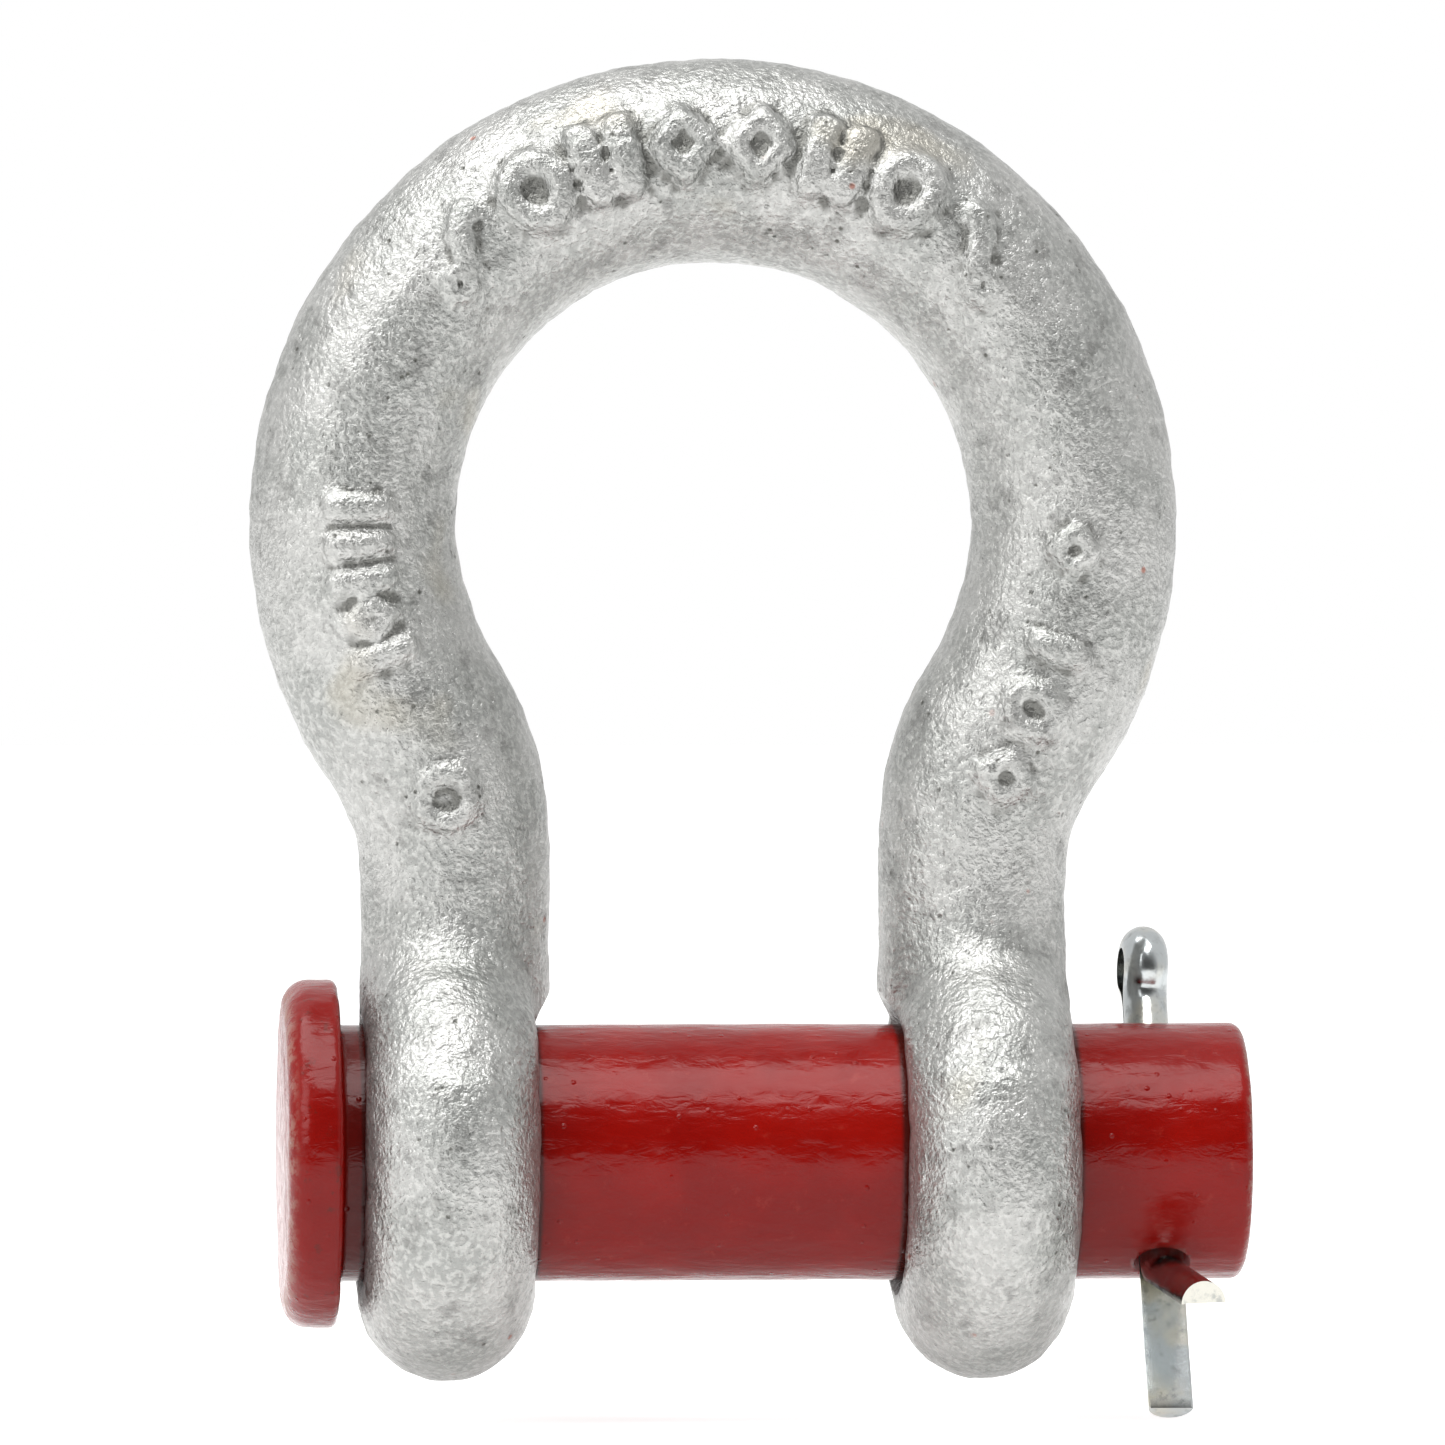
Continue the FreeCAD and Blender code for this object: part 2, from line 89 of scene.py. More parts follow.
def bar_at(run):
    """Centre, outward direction and radius of the bar, at a run from the crown's top, + to the right."""
    side = 1 if run >= 0 else -1
    run = abs(run)
    if run <= CROWN_RUN:
        angle = math.pi / 2 - run / CROWN_RADIUS
        outward = Vector((math.cos(angle), 0, math.sin(angle)))
        centre = Vector((0, 0, CROWN_HEIGHT)) + outward * CROWN_RADIUS
        radius = TOP_BAR + (SIDE_BAR - TOP_BAR) * ease(run / CROWN_RUN)
    else:
        angle = max(BEND_TURN - (run - CROWN_RUN) / BEND_RADIUS, 0)
        outward = Vector((math.cos(angle), 0, -math.sin(angle)))
        centre = Vector((LEG_X + BEND_RADIUS, 0, LEG_TOP)) - outward * BEND_RADIUS
        centre.z -= max(run - CROWN_RUN - BEND_RUN, 0)
        radius = SIDE_BAR + (LEG_BAR - SIDE_BAR) * ease((run - CROWN_RUN) / BEND_RUN)
    centre.x *= side
    outward.x *= side
    return centre, outward, radius


def forge_bar(bm, rings=180, sides=56):
    length = CROWN_RUN + BEND_RUN + LEG_TOP
    last = None
    for number in range(rings + 1):
        centre, outward, radius = bar_at(length * (2 * number / rings - 1))
        along = outward.cross(FRONT)
        place = Matrix((outward, FRONT, along)).transposed().to_4x4()
        place.translation = centre
        made = bmesh.ops.create_circle(bm, cap_ends=number in (0, rings), segments=sides, radius=radius,
                                       matrix=place)
        loop = [e for e in bm.edges if e.verts[0] in made["verts"] and e.verts[1] in made["verts"]]
        if last:
            bmesh.ops.bridge_loops(bm, edges=last + loop)
        last = loop


def forge_ear(bm, side):
    """A thick disc with a full-round rim, on the pin's axis."""
    ring = EAR_RADIUS - EAR_HALF
    upright = Matrix.Rotation(math.pi / 2, 4, "X")
    place = Matrix.Translation((side * EAR_X, 0, ring)) @ upright
    made = bmesh.ops.create_circle(bm, cap_ends=False, segments=44, radius=EAR_HALF, matrix=place)
    edges = [e for e in bm.edges if e.verts[0] in made["verts"] and e.verts[1] in made["verts"]]
    bmesh.ops.spin(bm, geom=made["verts"] + edges, cent=(0, 0, 0), axis=(1, 0, 0), angle=2 * math.pi,
                   steps=84, use_merge=True)
    along_x = Matrix.Translation((side * EAR_X, 0, 0)) @ Matrix.Rotation(math.pi / 2, 4, "Y")
    bmesh.ops.create_cone(bm, cap_ends=True, segments=84, radius1=ring, radius2=ring, depth=2 * EAR_HALF,
                          matrix=along_x)


def new_object(name, bm):
    bmesh.ops.recalc_face_normals(bm, faces=bm.faces)
    mesh = bpy.data.meshes.new(name)
    bm.to_mesh(mesh)
    bm.free()
    obj = bpy.data.objects.new(name, mesh)
    bpy.context.scene.collection.objects.link(obj)
    return obj


def settle(obj):
    """Turn the modifiers' result into the object's own mesh."""
    graph = bpy.context.evaluated_depsgraph_get()
    mesh = bpy.data.meshes.new_from_object(obj.evaluated_get(graph))
    obj.modifiers.clear()
    obj.data = mesh


def remesh(obj, voxel):
    step = obj.modifiers.new("skin", "REMESH")
    step.mode = "VOXEL"
    step.voxel_size = voxel
    settle(obj)


def relax(obj, rounds, chosen):
    """Smooth the vertices that chosen(position) picks, as a hammer and a dip of zinc would."""
    bm = bmesh.new()
    bm.from_mesh(obj.data)
    verts = [v for v in bm.verts if chosen(v.co)]
    for _ in range(rounds):
        bmesh.ops.smooth_vert(bm, verts=verts, factor=0.5, use_axis_x=True, use_axis_y=True, use_axis_z=True)
    bm.to_mesh(obj.data)
    bm.free()


def lathe(bm, outline, steps):
    """Spin an outline of (along X, radius) points about the X axis."""
    verts = [bm.verts.new((x, 0, radius)) for x, radius in outline]
    edges = [bm.edges.new(pair) for pair in zip(verts, verts[1:])]
    bmesh.ops.spin(bm, geom=verts + edges, cent=(0, 0, 0), axis=(1, 0, 0), angle=2 * math.pi, steps=steps,
                   use_merge=True)
    bmesh.ops.remove_doubles(bm, verts=bm.verts, dist=1e-7)


def cut_away(obj, cutter):
    step = obj.modifiers.new("cut", "BOOLEAN")
    step.operation = "DIFFERENCE"
    step.solver = "MANIFOLD"
    step.object = cutter
    settle(obj)
    bpy.data.objects.remove(cutter)


def bore_cutter(side):
    """The bore with its rounded mouths, and the spot face on the inner side of the ear."""
    inner = EAR_X - EAR_HALF
    outer = EAR_X + EAR_HALF
    clear = 1.6 * MM
    outline = [(inner - clear, 0), (inner - clear, BORE + SPOT_LAND + clear), (inner, BORE + SPOT_LAND)]
    for part in range(7):
        share = math.sin(math.pi / 2 * part / 6)
        outline.append((inner + MOUTH_DEPTH * share, BORE + MOUTH_ROUND * (1 - share)))
    outline += [(outer - MOUTH_ROUND, BORE), (outer - 0.3 * MOUTH_ROUND, BORE + 0.3 * MOUTH_ROUND),
                (outer, BORE + MOUTH_ROUND), (outer + clear, BORE + MOUTH_ROUND), (outer + clear, 0)]
    bm = bmesh.new()
    lathe(bm, [(side * x, radius) for x, radius in outline], 96)
    return new_object("bore_cutter", bm)


def under_leg(co):
    """Where the leg runs into the ear, leaving the step on the ear's inner side sharp."""
    return 3.0 * MM < co.z < 11.0 * MM and abs(co.x) > 6.7 * MM


body = bmesh.new()
forge_bar(body)
forge_ear(body, -1)
forge_ear(body, 1)
bow = new_object("forged_bow", body)
remesh(bow, DIE_SKIN)
relax(bow, 70, under_leg)


def on_bar(run, across, lift):
    """A point on the front of the bar; across is measured round it, + outwards."""
    centre, outward, radius = bar_at(run)
    turn = across / radius
    facing = outward * math.sin(turn) + FRONT * math.cos(turn)
    return centre + facing * (radius + lift)


def raise_mark(bm, shape, run, across, width, height, turn=0.0, stroke=0.62, lift=0.30):
    """One raised mark, made flat at the origin and then laid on the bar. All but run and across are in mm."""
    mark = bmesh.new()
    if shape == "bar":
        bmesh.ops.create_cube(mark, size=1, matrix=Matrix.Diagonal((width, height, 1, 1)))
        upright = [e for e in mark.edges if abs(e.verts[0].co.z - e.verts[1].co.z) > 0.5]
        bmesh.ops.bevel(mark, geom=upright, offset=0.4 * min(width, height), affect="EDGES", segments=3,
                        profile=0.5, material=-1)
    elif shape in ("ring", "frame"):
        place = Matrix.Translation((0.5 - stroke / width / 2, 0, 0)) @ Matrix.Rotation(math.pi / 2, 4, "X")
        made = bmesh.ops.create_circle(mark, cap_ends=False, segments=12, radius=stroke / width / 2,
                                       matrix=place)
        bmesh.ops.spin(mark, geom=made["verts"] + mark.edges[:], cent=(0, 0, 0), axis=(0, 0, 1),
                       angle=2 * math.pi, steps=28 if shape == "ring" else 4, use_merge=True)
        bmesh.ops.scale(mark, vec=(width, height, 1), verts=mark.verts)
    else:
        bmesh.ops.create_cone(mark, cap_ends=True, segments=16, radius1=0.62, radius2=0.44, depth=1)
        bmesh.ops.scale(mark, vec=(width, height, 1), verts=mark.verts)
    bmesh.ops.subdivide_edges(mark, edges=[e for e in mark.edges if e.calc_length() > 0.5], cuts=3,
                              use_grid_fill=True)
    thick = max(v.co.z for v in mark.verts)
    spin = Matrix.Rotation(turn, 4, "Z")
    for vert in mark.verts:
        flat = spin @ vert.co
        rise = lift if vert.co.z > 0 else -0.5
        vert.co = on_bar(run + flat.x * MM, across + flat.y * MM, rise * abs(vert.co.z) / thick * MM)
    bmesh.ops.recalc_face_normals(mark, faces=mark.faces)
    piece = bpy.data.meshes.new("mark")
    mark.to_mesh(piece)
    mark.free()
    bm.from_mesh(piece)
    bpy.data.meshes.remove(piece)


CROWN_ROW = ["ring", "bars", "frame", "frame", "bars", "ring"]
CROWN_PITCH = 2.62 * MM
CROWN_ACROSS = 0.5 * MM
BAR_SHIFT = 0.62 * MM
LEG_LIFT = 0.34

marked = bmesh.new()
marked.from_mesh(bow.data)
for number, shape in enumerate(CROWN_ROW):
    run = CROWN_PITCH * (number - (len(CROWN_ROW) - 1) / 2)
    if shape == "bars":
        for shift in (-BAR_SHIFT, BAR_SHIFT):
            raise_mark(marked, "bar", run + shift, CROWN_ACROSS, 0.88, 3.0, lift=0.40)
    else:
        raise_mark(marked, shape, run, CROWN_ACROSS, 2.6, 3.2, stroke=0.88, lift=0.44)
for side in (-1, 1):
    raise_mark(marked, "dot", side * 8.9 * MM, 1.3 * MM, 0.9, 0.9)
    raise_mark(marked, "bar", side * 9.7 * MM, 0.4 * MM, 0.6, 2.5, turn=side * 0.5)
    raise_mark(marked, "ring", side * 10.7 * MM, -0.4 * MM, 1.5, 1.6, stroke=0.6)
for run in (-19.6, -20.9, -22.2, -24.9):
    raise_mark(marked, "bar", run * MM, 0, 0.68, 2.4, lift=LEG_LIFT)
raise_mark(marked, "frame", -23.5 * MM, 0, 1.6, 2.5, stroke=0.65, lift=LEG_LIFT)
raise_mark(marked, "ring", -30.4 * MM, 0.2 * MM, 2.5, 2.5, stroke=0.72, lift=LEG_LIFT)
raise_mark(marked, "frame", 21.1 * MM, -0.3 * MM, 2.1, 2.2, stroke=0.7, lift=LEG_LIFT)
raise_mark(marked, "bar", 24.7 * MM, 0, 0.75, 2.3, lift=LEG_LIFT)
raise_mark(marked, "ring", 27.0 * MM, 0.1 * MM, 2.1, 2.6, stroke=0.72, lift=LEG_LIFT)
raise_mark(marked, "frame", 29.6 * MM, 0.3 * MM, 2.1, 2.6, stroke=0.72, lift=LEG_LIFT)
marked.to_mesh(bow.data)
marked.free()
remesh(bow, ZINC_SKIN)
relax(bow, 2, lambda co: True)

zinc_skin = bmesh.new()
zinc_skin.from_mesh(bow.data)
zinc_skin.normal_update()
for vert in zinc_skin.verts:
    swell = noise.noise(vert.co / (2.3 * MM)) * 0.050
    lump = noise.noise(vert.co / (0.95 * MM)) * 0.045
    grain = noise.noise(vert.co / (0.40 * MM) + Vector((7, 3, 5))) * 0.032
    vert.co += vert.normal * (swell + lump + grain) * MM
zinc_skin.to_mesh(bow.data)
zinc_skin.free()
for side in (-1, 1):
    cut_away(bow, bore_cutter(side))
bow.data.shade_smooth()
bow.data.set_sharp_from_angle(angle=math.radians(50))


def note_hollows(obj, rounds):
    """Keep, for each vertex, how deep it lies under the smoothed surface, so that the finish can paint shade
    into the hollows.
    """
    bm = bmesh.new()
    bm.from_mesh(obj.data)
    bm.normal_update()
    before = [(v.co.copy(), v.normal.copy()) for v in bm.verts]
    for _ in range(rounds):
        bmesh.ops.smooth_vert(bm, verts=bm.verts, factor=0.5, use_axis_x=True, use_axis_y=True,
                              use_axis_z=True)
    depths = [(v.co - co).dot(normal) / MM for v, (co, normal) in zip(bm.verts, before)]
    bm.free()
    obj.data.attributes.new("hollow", "FLOAT", "POINT").data.foreach_set("value", depths)


note_hollows(bow, 6)


class Nodes:
    """A short way to write the nodes of a finish or of the room's light."""

    def __init__(self, owner):
        owner.use_nodes = True
        self.owner = owner
        self.tree = owner.node_tree
        self.surface = self.tree.nodes.get("Principled BSDF")
        self.place = self.add("ShaderNodeTexCoord").outputs
        self.where = self.place["Object"]

    def add(self, kind, inputs=(), **settings):
        node = self.tree.nodes.new(kind)
        for key, value in settings.items():
            setattr(node, key, value)
        for key, value in dict(inputs).items():
            self.feed(node.inputs[key], value)
        return node

    def feed(self, socket, value):
        if isinstance(value, bpy.types.NodeSocket):
            self.tree.links.new(value, socket)
        else:
            socket.default_value = value

    def noise(self, per_mm, detail=3.0, rough=0.55, where=None, distortion=0.0):
        node = self.add("ShaderNodeTexNoise", {"Vector": where or self.where, "Scale": per_mm / MM,
                                               "Detail": detail, "Roughness": rough,
                                               "Distortion": distortion})
        return node.outputs["Fac"]

    def cells(self, per_mm, feature="F1"):
        node = self.add("ShaderNodeTexVoronoi", {"Vector": self.where, "Scale": per_mm / MM}, feature=feature)
        return node.outputs["Distance"]

    def band(self, value, low, high, start=0.0, end=1.0):
        limits = {"From Min": low, "From Max": high, "To Min": start, "To Max": end}
        node = self.add("ShaderNodeMapRange", {"Value": value, **limits}, interpolation_type="SMOOTHSTEP")
        return node.outputs["Result"]

    def maths(self, operation, first, second=0.0):
        return self.add("ShaderNodeMath", {0: first, 1: second}, operation=operation).outputs[0]

    def times(self, first, second):
        return self.maths("MULTIPLY", first, second)

    def from_axis(self):
        """Distance from the pin's axis."""
        flat = self.add("ShaderNodeMapping", {"Vector": self.where, "Scale": (0, 1, 1)}).outputs["Vector"]
        return self.add("ShaderNodeVectorMath", {0: flat}, operation="LENGTH").outputs["Value"]

    def blend(self, factor, first, second):
        node = self.add("ShaderNodeMix", {0: factor, 6: first, 7: second}, data_type="RGBA")
        return node.outputs[2]

    def bump(self, depth_mm, height, under=None):
        inputs = {"Height": height, "Distance": depth_mm * MM, "Strength": 1.0}
        if under:
            inputs["Normal"] = under
        return self.add("ShaderNodeBump", inputs).outputs["Normal"]


def galvanised():
    n = Nodes(bpy.data.materials.new("hot_dip_zinc"))
    hollow = n.add("ShaderNodeAttribute", attribute_name="hollow").outputs["Fac"]
    clouds = n.noise(0.35, 3)
    grain = n.noise(4.5, 2, 0.55, distortion=0.15)
    fine = n.noise(8.0, 2, 0.7)
    pits = n.cells(1.7)
    blotch = n.noise(0.9, 5, 0.7)
    stain = n.noise(0.16, 2, 0.5)
    rust = n.times(n.band(n.cells(0.55), 0.035, 0.09, 1.0, 0.0), n.band(clouds, 0.50, 0.60))
    # painted shade: the hollows of the grain and the edges round the raised marks are painted darker
    crevice_shade = n.band(hollow, 0.009, 0.034)
    speck = n.times(n.band(pits, 0.07, 0.20, 1.0, 0.0), n.band(blotch, 0.50, 0.60))
    # painted shade: the bore and the rim of its mouths are painted near black, where shadow falls
    bore_shade = n.band(n.from_axis(), BORE + 0.2 * MM, BORE + 0.85 * MM, 0.93, 0.0)
    colour = n.blend(n.band(clouds, 0.38, 0.62), (0.305, 0.31, 0.297, 1), (0.40, 0.40, 0.387, 1))
    colour = n.blend(n.band(grain, 0.42, 0.66, 0.0, 0.5), colour, (0.58, 0.58, 0.56, 1))
    colour = n.blend(n.band(blotch, 0.53, 0.66, 0.0, 0.5), colour, (0.155, 0.155, 0.147, 1))
    colour = n.blend(n.band(stain, 0.66, 0.74, 0.0, 0.35), colour, (0.40, 0.36, 0.275, 1))
    colour = n.blend(n.times(speck, 0.85), colour, (0.06, 0.06, 0.05, 1))
    colour = n.blend(n.times(rust, 0.7), colour, (0.30, 0.07, 0.03, 1))
    colour = n.blend(n.times(crevice_shade, 0.85), colour, (0.11, 0.11, 0.10, 1))
    colour = n.blend(bore_shade, colour, (0.035, 0.022, 0.018, 1))
    n.feed(n.surface.inputs["Base Color"], colour)
    n.surface.inputs["Metallic"].default_value = 0.8
    n.feed(n.surface.inputs["Roughness"], n.band(fine, 0.3, 0.7, 0.27, 0.48))
    relief = n.bump(0.095, grain)
    relief = n.bump(0.030, fine, relief)
    relief = n.bump(0.030, n.band(pits, 0.0, 0.2), relief)
    n.feed(n.surface.inputs["Normal"], relief)
    return n.owner


bow.data.materials.clear()
bow.data.materials.append(galvanised())
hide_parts("bow")
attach(bow, "bow")

# ---------------------------------------------------------------------------------------------
# Round pin: forged steel bar with an upset head, cross-drilled near its plain end.
# It is dipped in thick glossy red paint, which sags, catches dust, and wears off the outer rims.
# ---------------------------------------------------------------------------------------------

PIN_RADIUS = 4.535 * MM
HEAD_RADIUS = 6.15 * MM
HEAD_IN = -(EAR_X + EAR_HALF) - 0.8 * MM
HEAD_OUT = HEAD_IN - 1.9 * MM
HOLE_X = EAR_X + EAR_HALF + 3.1 * MM
PIN_END = HOLE_X + 3.05 * MM
HOLE_RADIUS = 1.0 * MM
HOLE_TILT = math.radians(31)
HEAD_DOME = 0.12 * MM
HEAD_ROUND = 0.9 * MM
HEAD_BACK_ROUND = 0.3 * MM
NECK_ROUND = 0.25 * MM
TIP_ROUND = 0.42 * MM


def round_corner(before, corner, after, radius, parts=8):
    """Points of a quarter round that replaces a square corner of an outline."""
    first = (Vector(before) - Vector(corner)).normalized() * radius
    second = (Vector(after) - Vector(corner)).normalized() * radius
    middle = Vector(corner) + first + second
    for part in range(parts + 1):
        bend = math.pi / 2 * part / parts
        yield tuple(middle - second * math.cos(bend) - first * math.sin(bend))


def spaced(outline, step):
    """Add points so that no stretch of the outline is longer than step."""
    points = [outline[0]]
    for x, radius in outline[1:]:
        last_x, last_radius = points[-1]
        parts = max(1, math.ceil(math.hypot(x - last_x, radius - last_radius) / step))
        for part in range(1, parts + 1):
            share = part / parts
            points.append((last_x + (x - last_x) * share, last_radius + (radius - last_radius) * share))
    return points


front_edge, back_edge = (HEAD_OUT, HEAD_RADIUS), (HEAD_IN, HEAD_RADIUS)
neck_foot, tip_edge = (HEAD_IN, PIN_RADIUS), (PIN_END, PIN_RADIUS)
pin_outline = [(HEAD_OUT - HEAD_DOME, 0), (HEAD_OUT - 2 / 3 * HEAD_DOME, 0.6 * HEAD_RADIUS)]
pin_outline += round_corner((HEAD_OUT, 0), front_edge, back_edge, HEAD_ROUND)
pin_outline += round_corner(front_edge, back_edge, neck_foot, HEAD_BACK_ROUND, 5)
pin_outline += round_corner(back_edge, neck_foot, tip_edge, NECK_ROUND, 4)
pin_outline += round_corner((0, PIN_RADIUS), tip_edge, (PIN_END, 0), TIP_ROUND, 5)
pin_outline.append((PIN_END, 0))
turned = bmesh.new()
lathe(turned, spaced(pin_outline, 0.2 * MM), 150)
pin = new_object("painted_pin", turned)

drill = bmesh.new()
across_pin = Matrix.Translation((HOLE_X, 0, 0)) @ Matrix.Rotation(-HOLE_TILT, 4, "X")
bmesh.ops.create_cone(drill, cap_ends=True, segments=48, radius1=HOLE_RADIUS, radius2=HOLE_RADIUS,
                      depth=4 * PIN_RADIUS, matrix=across_pin)
cut_away(pin, new_object("drill", drill))

paint_skin = bmesh.new()
paint_skin.from_mesh(pin.data)
bmesh.ops.triangulate(paint_skin, faces=[f for f in paint_skin.faces if len(f.verts) > 4])
paint_skin.normal_update()
for vert in paint_skin.verts:
    radial = math.hypot(vert.co.y, vert.co.z)
    if radial < 0.9 * PIN_RADIUS:
        continue
    stretched = Vector((vert.co.x, vert.co.y * 0.8, vert.co.z * 0.8))
    thicker = 2.4 if vert.co.x < HEAD_IN + 0.1 * MM else 1.0
    sag = noise.noise(stretched / (2.6 * MM)) * 0.022 + noise.noise(vert.co / (0.8 * MM)) * 0.009
    vert.co += vert.normal * (sag * thicker - 0.01) * MM
paint_skin.to_mesh(pin.data)
paint_skin.free()
pin.data.shade_smooth()


def red_paint():
    n = Nodes(bpy.data.materials.new("thick_red_paint"))
    along = n.add("ShaderNodeSeparateXYZ", {"Vector": n.where}).outputs["X"]
    brushed = n.add("ShaderNodeMapping", {"Vector": n.where, "Scale": (0.45, 1, 1)}).outputs["Vector"]
    patches = n.noise(0.25, 3)
    dust = n.cells(1.1)
    sags = n.noise(0.75, 2, 0.5, brushed)
    ripple = n.noise(2.4, 3, 0.6, brushed, 0.5)
    scuff = n.noise(1.6, 5, 0.7)

    radial = n.from_axis()
    head_rim = n.times(n.band(along, HEAD_OUT - 0.05 * MM, HEAD_OUT + 0.45 * MM, 0.8, 0.0),
                       n.band(radial, HEAD_RADIUS - 1.5 * MM, HEAD_RADIUS - 0.7 * MM))
    tip_rim = n.times(n.band(along, PIN_END - 0.30 * MM, PIN_END - 0.02 * MM, 0.0, 0.9),
                      n.band(radial, PIN_RADIUS - 0.9 * MM, PIN_RADIUS - 0.35 * MM))
    worn = n.times(n.maths("ADD", head_rim, tip_rim), n.band(scuff, 0.42, 0.60))
    thick = n.band(along, HEAD_IN - 0.3 * MM, HEAD_IN, 0.42, 0.0)
    chipped = n.times(n.band(along, HEAD_IN - 0.1 * MM, HEAD_IN, 0.6, 0.0), n.band(scuff, 0.58, 0.70))

    ear_face = EAR_X + EAR_HALF
    by_ear = n.maths("ABSOLUTE", n.maths("SUBTRACT", n.maths("ABSOLUTE", along), EAR_X))
    # dirt and painted shadow: the paint is darkened to near black on the pin next to each ear face
    ear_dirt_and_shade = n.band(by_ear, EAR_HALF + 0.05 * MM, EAR_HALF + 0.24 * MM, 0.85, 0.0)
    # painted shade: the neck of the pin between the head and the ear is painted darker
    neck_shade = n.times(n.band(along, -ear_face - 0.15 * MM, -ear_face + 0.15 * MM, 0.5, 0.0),
                      n.band(along, HEAD_IN, HEAD_IN + 0.15 * MM))

    colour = n.blend(n.band(patches, 0.35, 0.65), (0.218, 0.0020, 0.0007, 1), (0.270, 0.0036, 0.0014, 1))
    colour = n.blend(n.band(scuff, 0.58, 0.75, 0.0, 0.35), colour, (0.36, 0.035, 0.022, 1))
    colour = n.blend(thick, colour, (0.150, 0.0030, 0.0020, 1))
    colour = n.blend(chipped, colour, (0.075, 0.008, 0.005, 1))
    colour = n.blend(worn, colour, (0.34, 0.20, 0.16, 1))
    # near-black paint next to the ears (dirt and painted shadow) and on the neck (painted shade)
    colour = n.blend(n.maths("MAXIMUM", ear_dirt_and_shade, neck_shade), colour, (0.035, 0.006, 0.004, 1))
    n.feed(n.surface.inputs["Base Color"], colour)
    gloss = n.band(ripple, 0.3, 0.7, 0.13, 0.26)
    n.feed(n.surface.inputs["Roughness"], n.maths("ADD", gloss, n.times(worn, 0.3)))
    n.surface.inputs["Specular IOR Level"].default_value = 0.22
    relief = n.bump(0.090, sags)
    relief = n.bump(0.034, ripple, relief)
    relief = n.bump(0.030, n.band(dust, 0.02, 0.13, 1.0, 0.0), relief)
    n.feed(n.surface.inputs["Normal"], relief)
    return n.owner


pin.data.materials.clear()
pin.data.materials.append(red_paint())
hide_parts("round_pin")
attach(pin, "round_pin")

# ---------------------------------------------------------------------------------------------
# Split pin: one length of half-round steel wire, flat side inwards, folded into an eye.
# Bright zinc plate over drawn wire.  One leg is bent up towards the front, the other is straight.
# ---------------------------------------------------------------------------------------------

WIRE = 0.795 * MM
PARTING = 0.05 * MM
NECK_Z = 5.75 * MM
NECK = 1.5 * MM
EYE = 0.75 * MM
LONG_LEG = 10.2 * MM
FOLD_Z = 4.4 * MM
FOLD = 1.4 * MM
FOLD_TURN = math.radians(52)
SIDE_LEAN = math.radians(8)
BENT_LEG = 4.5 * MM
EYE_TURN = math.radians(4)
TIP_BEVEL = 0.10 * MM
CORNER = 0.09 * MM


def half_round_end(bm):
    """The wire's end face at the tip of the straight leg, flat side towards the other leg."""
    place = Matrix.Translation((0, PARTING, -LONG_LEG))
    bmesh.ops.create_circle(bm, cap_ends=True, segments=40, radius=WIRE, matrix=place)
    bmesh.ops.bisect_plane(bm, geom=bm.verts[:] + bm.edges[:] + bm.faces[:], plane_co=(0, PARTING, 0),
                           plane_no=(0, 1, 0), clear_inner=True)
    corners = [v for v in bm.verts if abs(v.co.y - PARTING) < 1e-7 and abs(v.co.x) > 0.9 * WIRE]
    bmesh.ops.bevel(bm, geom=corners, offset=CORNER, affect="VERTICES", segments=3, profile=0.5, material=-1)
    return bm.faces[:]


def drawn_on(bm, end, shift, steps):
    """Extrude the end face straight on by shift, in steps."""
    for _ in range(steps):
        made = bmesh.ops.extrude_face_region(bm, geom=end)["geom"]
        verts = [item for item in made if isinstance(item, bmesh.types.BMVert)]
        bmesh.ops.translate(bm, verts=verts, vec=shift / steps)
        bmesh.ops.delete(bm, geom=end, context="FACES_ONLY")
        end = [item for item in made if isinstance(item, bmesh.types.BMFace)]
    return end


def turned_on(bm, end, centre, axis, angle, steps):
    """Carry the end face round a bend."""
    for _ in range(steps):
        made = bmesh.ops.extrude_face_region(bm, geom=end)["geom"]
        verts = [item for item in made if isinstance(item, bmesh.types.BMVert)]
        bmesh.ops.rotate(bm, verts=verts, cent=centre, matrix=Matrix.Rotation(angle / steps, 3, axis))
        bmesh.ops.delete(bm, geom=end, context="FACES_ONLY")
        end = [item for item in made if isinstance(item, bmesh.types.BMFace)]
    return end


wire = bmesh.new()
start = half_round_end(wire)
eye_rise = math.sqrt((NECK + EYE) ** 2 - (PARTING + NECK) ** 2)
meet = math.atan2(eye_rise, PARTING + NECK)
along_x = Vector((1, 0, 0))
end = drawn_on(wire, start, Vector((0, 0, LONG_LEG + NECK_Z)), 40)
end = turned_on(wire, end, (0, PARTING + NECK, NECK_Z), along_x, -meet, 10)
end = turned_on(wire, end, (0, 0, NECK_Z + eye_rise), along_x, math.pi + 2 * meet, 40)
end = turned_on(wire, end, (0, -PARTING - NECK, NECK_Z), along_x, -meet, 10)
end = drawn_on(wire, end, Vector((0, 0, -NECK_Z - FOLD_Z)), 26)
lean = Matrix.Rotation(SIDE_LEAN, 3, "Z")
fold_axis = lean @ along_x
end = turned_on(wire, end, lean @ Vector((0, -PARTING - FOLD, -FOLD_Z)), fold_axis, -FOLD_TURN, 14)
outwards = lean @ Vector((0, -math.sin(FOLD_TURN), -math.cos(FOLD_TURN)))
end = drawn_on(wire, end, outwards * BENT_LEG, 12)
bmesh.ops.holes_fill(wire, edges=[e for e in wire.edges if e.is_boundary])
tips = [max(face.edges, key=lambda edge: edge.calc_length()) for face in wire.faces if len(face.verts) > 12]
bmesh.ops.bevel(wire, geom=tips, offset=TIP_BEVEL, affect="EDGES", segments=1, profile=0.5, material=-1)
